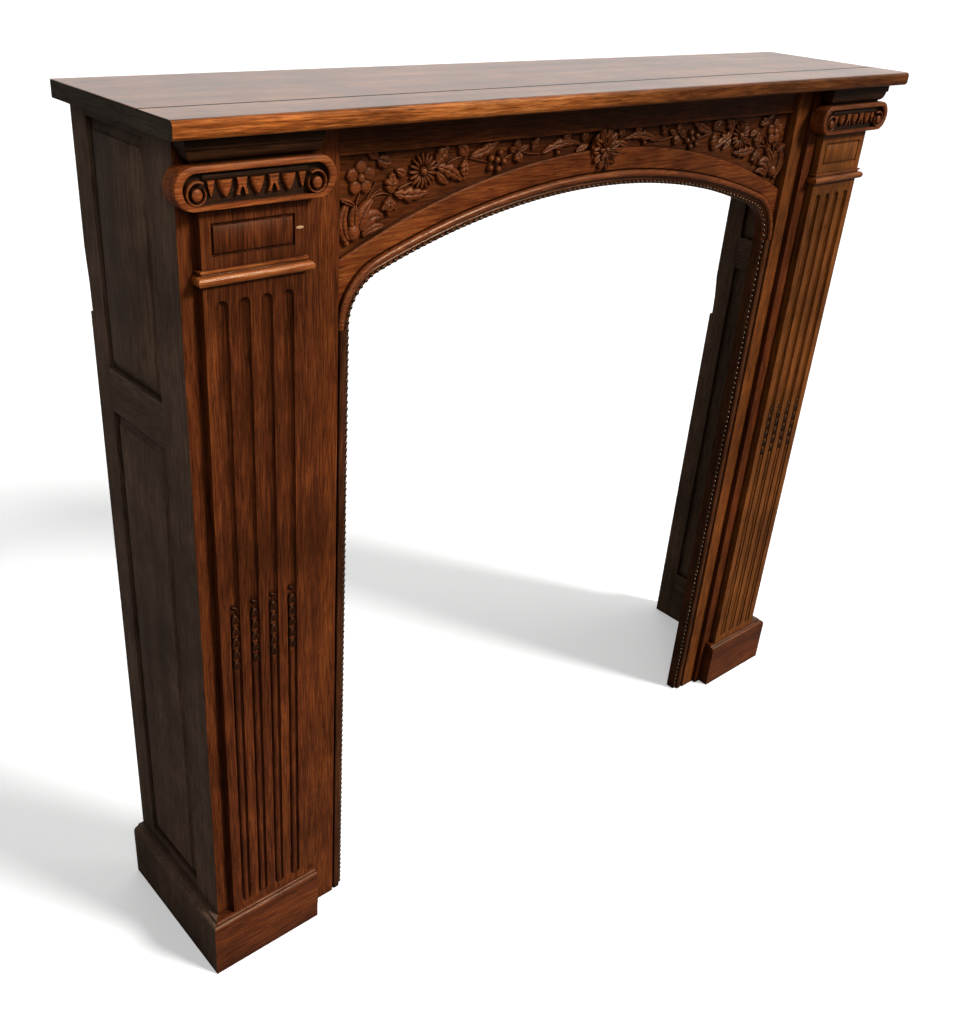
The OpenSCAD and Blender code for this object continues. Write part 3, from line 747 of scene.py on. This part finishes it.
def carving():
    half = [leaf(*one) for one in leaves]
    for start, pull, end, width in stalks:
        half.append(sprigShell(bezier(start, pull, end, 17), width * 0.85, 1.4, (0.1, 0.3), groove=0.0))
    for start, pull, end, width, height, tips in horns:
        horn = sprigShell(bezier(start, pull, end), width, height, tips, groove=0.45, veins=0.06, lift=1.5)
        half.append(horn)
    half += [turned(domeShell(r, r, r + 1.0, 6, 16), 0, x, z) for x, z, r in fruit]
    cup = domeShell(*garland["cupRadius"], garland["cupRise"], 7, 24, lobes=8, lobeDepth=0.05)
    half.append(turned(cup, 0, *garland["cup"]))
    half += [turned(part, 0, *garland["flower"]) for part in flower(*garland["flowerSize"])]
    half += [turned(part, 0, *garland["daisy"]) for part in daisy(*garland["daisySize"])]
    shells = onBoard(half, 0, 0, -1, arch["groundFace"]) + onBoard(half, 0, 0, 1, arch["groundFace"])
    return shells + onBoard(rosette(), 0, garland["rosetteHeight"], 1, arch["boardFace"] + 1)


makePiece("friezeCarving", carving(), finish["carving"], smooth=50.0)
print("carving made")

# edge moulding and beads

edge = {
    "beadPitch": 8.6,
    "beadOut": 2.3,  # mm from the opening's edge to the row of beads
    "beadAcross": 2.5,
    "beadAlong": 3.1,
    "beadRise": 3.0,
    "beadSeat": -1.2,
}


def arc(cx, cy, r, start, stop, steps):
    a = np.radians(np.linspace(start, stop, steps))
    return np.stack([cx + r * np.cos(a), cy + r * np.sin(a)], -1)


def archMoulding():
    # profile (out, rise) swept along the basket arch: bead seat, cove, roll
    seat = [[0.2, -3.4], [0.2, -1.2], [4.8, -1.2], [5.0, 0.6]]
    cove, roll = arc(7.6, 1.6, 2.4, 200, 330, 7), arc(13.7, 1.2, 4.5, 165, -10, 17)
    profile = np.concatenate([seat, cove, roll, [[18.2, -3.4]]])
    turn = archTurns(20, 120)
    x, z = archPoint(turn[:, None], profile[:, 0])
    return loftShell(ringsFrom(x, arch["boardFace"] - profile[:, 1], z))


def jambMoulding(side):
    # flat strip with a bead seat at the opening and a quirk beside the stile
    seat = [[0.2, -16.0], [0.2, -1.2], [4.8, -1.2]]
    strip = [[5.6, 3.0], [7.0, 4.4], [14.6, 4.6], [15.6, 3.4]]
    quirk = [[16.0, -1.0], [17.2, -1.0], [17.8, 3.2], [19.0, 3.6], [19.0, -16.0]]
    out, rise = np.array(seat + strip + quirk).T
    z = np.array([[0.0], [arch["spring"]]])
    return loftShell(ringsFrom(side * (arch["halfSpan"] + out), arch["boardFace"] - rise, z))


def beadPath():
    turn = archTurns(30, 200)
    x, z = archPoint(turn, edge["beadOut"])
    x = np.concatenate([[x[0]], x, [x[-1]]])
    z = np.concatenate([[0.0], z, [0.0]])
    return x, z


def beads():
    # beads at even steps of path length; each is a small ellipsoid, long axis along the path
    x, z = beadPath()
    run = np.concatenate([[0], np.cumsum(np.hypot(np.diff(x), np.diff(z)))])
    count = int(run[-1] / edge["beadPitch"])
    at = (np.arange(count) + 0.5) * run[-1] / count
    aheadX, aheadZ = (np.interp(at + 2, run, v) - np.interp(at - 2, run, v) for v in (x, z))
    size = np.hypot(aheadX, aheadZ)
    tx, tz = (aheadX / size)[:, None], (aheadZ / size)[:, None]
    lat = np.linspace(-math.pi / 2, math.pi / 2, 6)[:, None]
    lon = np.linspace(0, 2 * math.pi, 8, endpoint=False)
    along = (np.sin(lat) + 0 * lon).ravel() * edge["beadAlong"]
    across = (np.cos(lat) * np.cos(lon)).ravel() * edge["beadAcross"]
    out = (np.cos(lat) * np.sin(lon)).ravel() * edge["beadRise"]
    beadX = np.interp(at, run, x)[:, None] + tx * along - tz * across
    beadZ = np.interp(at, run, z)[:, None] + tz * along + tx * across
    beadY = arch["boardFace"] - edge["beadSeat"] - out
    points = ringsFrom(beadX, beadY, beadZ)
    # the rings shrink to a point at both ends, so they need no flat caps
    faces = loftShell(np.zeros((len(lat), len(lon), 3)))[1][:-2]
    return [(bead, faces) for bead in points]


makePiece("archMoulding", [archMoulding()], finish["edge"],
          ["arch_moulding_crown", "arch_moulding_left", "arch_moulding_right"], smooth=30.0)
makePiece("jambMouldings", [jambMoulding(-1), jambMoulding(1)], finish["jamb"],
          ["jamb_moulding_left", "jamb_moulding_right"], smooth=30.0)
makePiece("edgeBeads", beads(), finish["bead"], smooth=70.0)
print("edge moulding and beads made")

# capitals

capital = {
    "centre": 520.0,
    "middle": 1036.5,
    "halfWidth": 88.5,
    "radius": 20.5,
    "back": -87.0,
    "field": -103.0,
    "rimTop": 7.0,
    "rimEnd": 9.0,
    "rimFoot": 4.8,
    "rimShare": (0, 0, 0.05, 0.16, 0.84, 0.96, 1.0, 1.0),  # the rim's profile, outside to inside
    "rimRise": (-1, 5.2, 6.4, 7.0, 7.0, 6.2, 5.0, -1),  # its height there, over the sunk field
    "scrollX": 65.0,
    "scrollZ": -5.0,
    "scrollRadius": 10.9,
    "scrollFall": 2.4,  # how much the radius falls by the scroll's end
    "scrollStart": 130.0,  # degrees
    "scrollTurn": 345.0,
    "bandWidth": 3.8,
    "bandRise": 5.4,
    "buttonRadius": (5.5, 6.0),
    "buttonRise": 2.6,
    "buttonEdge": 5.6,
    "eggPitch": 34.5,
    "eggTop": 6.0,
    "eggFoot": -11.0,
    "eggWidth": 17.0,
    "eggRise": 5.4,
    "dartRise": 4.6,
    "halfDartRise": 3.6,
    "groundInset": (6, 3),  # from the capital's end and from its top
    "cushion": 9.0,  # height over the capital's middle
    "cushionReach": 60.0,
    "cushionWidth": 6.0,
    "cushionRise": 0.8,
}


def stadiumRing(halfWidth, r, count=28):
    # right half circle, then left half circle
    a = np.linspace(-math.pi / 2, math.pi / 2, count)
    right = np.stack([halfWidth - r + r * np.cos(a), r * np.sin(a)], -1)
    return np.concatenate([right, -right])


def levelRings(*pairs):
    # each pair is a ring (across, up) and its height
    return np.stack([np.c_[ring, np.full(len(ring), height)] for ring, height in pairs])


def plateShell(outline, low, high, chamfer=0.8):
    # flat plate with its upper arris taken off by moving the edge towards the middle
    outline = np.array(outline, float)
    toMiddle = outline.mean(0) - outline
    inner = outline + toMiddle * chamfer / np.abs(toMiddle).max()
    return loftShell(levelRings((outline, low), (outline, high - chamfer), (inner, high)))


def eggShell(top, foot, width, rise):
    # t from 0 at the flat top to 1 at the foot; half width = width/2 * (1 - t^1.6)^0.7, domed across
    t = np.linspace(0, 1, 17) ** 0.8
    half = width / 2 * np.maximum(1 - t**1.6, 0) ** 0.7
    v = np.linspace(-1, 1, 13)
    h = rise * (1 - 0.35 * t[:, None] ** 2) * np.sqrt(1 - v**2) * np.minimum(half[:, None] / 2, 1) + 0.6
    x = half[:, None] * v
    z = top + (foot - top) * t[:, None] + 0 * x
    upper = np.stack([x, z, h], -1)
    under = upper[:, [-1, 0]].copy()
    under[..., 2] = -1.0
    return loftShell(np.concatenate([upper, under], 1))


def capitalRim():
    # wide along the top and ends, narrow along the foot, its arrises rubbed round
    c = capital
    outer = stadiumRing(c["halfWidth"], c["radius"])
    inner = stadiumRing(c["halfWidth"] - c["rimEnd"], c["radius"] - (c["rimTop"] + c["rimFoot"]) / 2)
    inner = inner + [0, (c["rimFoot"] - c["rimTop"]) / 2]
    rings = levelRings(*((outer + (inner - outer) * k, h) for k, h in zip(c["rimShare"], c["rimRise"])))
    return loftShell(rings.swapaxes(0, 1), closePath=True)


def capitalScroll(side):
    # band: r(t) = radius - fall * t^2 over nearly one turn, then the button
    c = capital
    t = np.linspace(0, 1, 49)
    a = np.radians(c["scrollStart"] - c["scrollTurn"] * t)
    r = c["scrollRadius"] - c["scrollFall"] * t**2
    path = np.c_[side * (c["scrollX"] + r * np.cos(a)), c["scrollZ"] + r * np.sin(a)]
    band = sprigShell(path, c["bandWidth"], c["bandRise"], (0.03, 0.25), groove=0.0)
    button = domeShell(*c["buttonRadius"], c["buttonRise"], 8, 22, edge=c["buttonEdge"])
    return [band, turned(button, 0, side * (c["scrollX"] + 0.5), c["scrollZ"] - 0.5)]


def capitalShells():
    c = capital
    outer = stadiumRing(c["halfWidth"], c["radius"])
    body = loftShell(levelRings((outer, c["field"] - c["back"]), (outer, 0.0)))
    shells = [body, capitalRim(), *capitalScroll(-1), *capitalScroll(1)]
    egg = eggShell(c["eggTop"], c["eggFoot"], c["eggWidth"], c["eggRise"])
    shells += [turned(egg, 0, k * c["eggPitch"]) for k in (-1, 0, 1)]
    # darts: a flat head that splits into two legs below
    dart = [(-5.6, 6.4), (5.6, 6.4), (4.8, 2.0), (4.4, -2.0), (7.0, -9.0), (3.8, -10.0), (2.0, -4.0),
            (0.0, -0.5), (-2.0, -4.0), (-3.8, -10.0), (-7.0, -9.0), (-4.4, -2.0), (-4.8, 2.0)]
    shells += [turned(plateShell(dart, -1.0, c["dartRise"]), 0, k * c["eggPitch"]) for k in (-0.5, 0.5)]
    # half darts beside the scrolls
    halfDart = [(45.5, 6.0), (53.5, 6.0), (52.5, 0.0), (50.0, -9.5), (47.5, -4.0)]
    for side in (-1, 1):
        shells.append(plateShell([(side * x, z) for x, z in halfDart], -1.0, c["halfDartRise"]))
    return shells


def capitalShadeGround():
    # thin near-black plate over the sunk field, just inside the rim, with the cushion above the eggs:
    # painted shade in the capital's recess
    c = capital
    ring = stadiumRing(c["halfWidth"] - c["groundInset"][0], c["radius"] - c["groundInset"][1])
    path = np.linspace((-c["cushionReach"], c["cushion"]), (c["cushionReach"], c["cushion"]), 41)
    cushion = sprigShell(path, c["cushionWidth"], c["cushionRise"], (0.02, 0.02), groove=0.0)
    return [loftShell(levelRings((ring, -2.0), (ring, 0.3))), cushion]


for side, word in ((-1, "left"), (1, "right")):
    place = (capital["centre"], capital["middle"], side, capital["field"])
    makePiece("capitalCarved_" + word, onBoard(capitalShells(), *place), finish["capital"],
              ["capital_" + word], smooth=40.0)
    makePiece("capitalShadeGround_" + word, onBoard(capitalShadeGround(), *place), finish["recess"])
print("capitals made")

# bellflowers

husk = {
    "foot": 477.0,
    "drop": 16.0,
    "count": 5,
    "pitch": 25.5,
    "flutes": 4,
    "centre": 520.0,
    "seat": -93.2,
    "petals": ((-72, 2.6, 0.9), (-108, -2.6, 0.9), (-90, 0.0, 1.0)),  # turn, place across and size
    "overlap": 1.05,  # petal length as a share of the drop
    "petalWidth": 4.6,
    "petalRise": 2.6,
    "raise": 0.9,
    "hookWidth": 2.4,
    "across": 7,  # points across each petal
}


def huskChain():
    # bellflowers hang one below another, each of three petals that point down, from a small hook
    shells = []
    for k in range(husk["count"]):
        z = husk["foot"] + (k + 0.5) * husk["drop"]
        for turn, x, size in husk["petals"]:
            path = straight(husk["drop"] * husk["overlap"] * size, 9)
            petal = sprigShell(path, husk["petalWidth"] * size, husk["petalRise"], (0.35, 0.7), groove=0.35,
                               across=husk["across"])
            shells.append(turned(petal, turn, x, z, husk["raise"] * size))
    top = husk["foot"] + husk["count"] * husk["drop"]
    hook = bezier((-4, top + 4), (0, top + 12), (4, top + 9), 9)
    shells.append(sprigShell(hook, husk["hookWidth"], husk["petalRise"], (0.2, 0.5), groove=0.0,
                             across=husk["across"]))
    return shells


def bellflowers():
    shells = []
    for side in (-1, 1):
        for k in range(husk["flutes"]):
            x = husk["centre"] + (k - (husk["flutes"] - 1) / 2) * husk["pitch"]
            shells += onBoard(huskChain(), x, 0, side, husk["seat"])
    return shells


makePiece("bellflowers", bellflowers(), finish["husk"], smooth=55.0)
print("bellflowers made")

# a smear of pale filler beside the left pilaster's panel
filler = {"x": -467.5, "z": 986.0, "radius": (4.6, 1.6), "rise": 0.5, "edge": 0.2, "face": -97.0}
smear = domeShell(*filler["radius"], filler["rise"], 5, 14, edge=filler["edge"])
makePiece("fillerPatch", onBoard([smear], filler["x"], filler["z"], 1, filler["face"]), finish["filler"])

# plain boards with rubbed edges

# each board's finish, wear in mm and slot
boards = {
    "shelf_back_board": ("shelf", 0.9, "oak_shelf"),
    "shelf_front_board": ("shelf", 1.4, "oak_shelf"),
    "pilaster_left": ("pilasterLeft", 0.6, "oak_front"),
    "pilaster_right": ("pilasterRight", 0.6, "oak_front"),
    "collar_left": ("collar", 0.4, "oak_front"),
    "collar_right": ("collar", 0.4, "oak_front"),
    "outer_stile_left": ("stile", 1.2, "oak_front"),
    "outer_stile_right": ("stile", 1.2, "oak_front"),
    "inner_stile_left": ("innerStile", 0.8, "oak_front"),
    "inner_stile_right": ("farStile", 0.8, "oak_front"),
    "impost_left": ("impost", 0.5, "oak_side"),
    "impost_right": ("impost", 0.5, "oak_side"),
    "plinth_front_left": ("plinth", 0.7, "oak_front"),
    "plinth_front_right": ("plinth", 0.7, "oak_front"),
    "plinth_side_left": ("side", 0.7, "oak_side"),
    "plinth_side_right": ("side", 0.7, "oak_side"),
}
returnBoards = {
    "back_stile": "side",
    "front_stile": "side",
    "top_rail": "sideRail",
    "middle_rail": "sideRail",
    "bottom_rail": "sideRail",
    "upper_panel": "side",
    "lower_panel": "side",
}
for word in ("left", "right"):
    for name, tone in returnBoards.items():
        boards["return_" + name + "_" + word] = (tone, 0.7, "oak_side")
# finishes whose boards have other faces at their ends and towards the room
# the stiles' outward faces take the side's painted skylight tone, and the shelf's front faces take the
# shelf front's painted light fall-off
ends = {"shelf": (finish["shelfEnd"], finish["shelfFront"]), "stile": (finish["side"], finish["stile"])}
for node, (tone, wear, slotName) in boards.items():
    wornCopy(node, finish[tone], wear, ends.get(tone, ()))
print("boards rubbed:", len(boards))

# floor

ground = {
    "reach": 40.0,  # metres from the middle to each edge
    "pale": "#f4f4f3",
    "roughness": 0.95,
    "glow": 0.36,
    "bounce": "#6f6c69",
}


def makeFloor():
    # seen directly it is a pale sheet with soft shadows; for bounced light it is a darker grey,
    # so that the recesses under the shelf stay deep
    mesh = bpy.data.meshes.new("paleFloor")
    r = ground["reach"]
    corners = [(-r, -r, 0), (r, -r, 0), (r, r, 0), (-r, r, 0)]
    mesh.from_pydata(corners, [], [(0, 1, 2, 3)])
    floor = bpy.data.objects.new("paleFloor", mesh)
    scene.collection.objects.link(floor)
    mat = bpy.data.materials.new("matt white floor")
    mat.use_nodes = True
    t = mat.node_tree
    pale = t.nodes["Principled BSDF"]
    pale.inputs["Base Color"].default_value = toLinear(ground["pale"])
    pale.inputs["Roughness"].default_value = ground["roughness"]
    pale.inputs["Specular IOR Level"].default_value = 0.0
    pale.inputs["Emission Color"].default_value = (1.0, 1.0, 1.0, 1.0)
    pale.inputs["Emission Strength"].default_value = ground["glow"]
    grey = addNode(t, "BsdfDiffuse", [("Color", toLinear(ground["bounce"]))])
    seen = addNode(t, "LightPath").outputs["Is Camera Ray"]
    both = addNode(t, "MixShader", i0=seen, i1=grey.outputs[0], i2=pale.outputs[0])
    t.links.new(both.outputs[0], t.nodes["Material Output"].inputs["Surface"])
    mesh.materials.append(mat)


makeFloor()
print("floor laid")
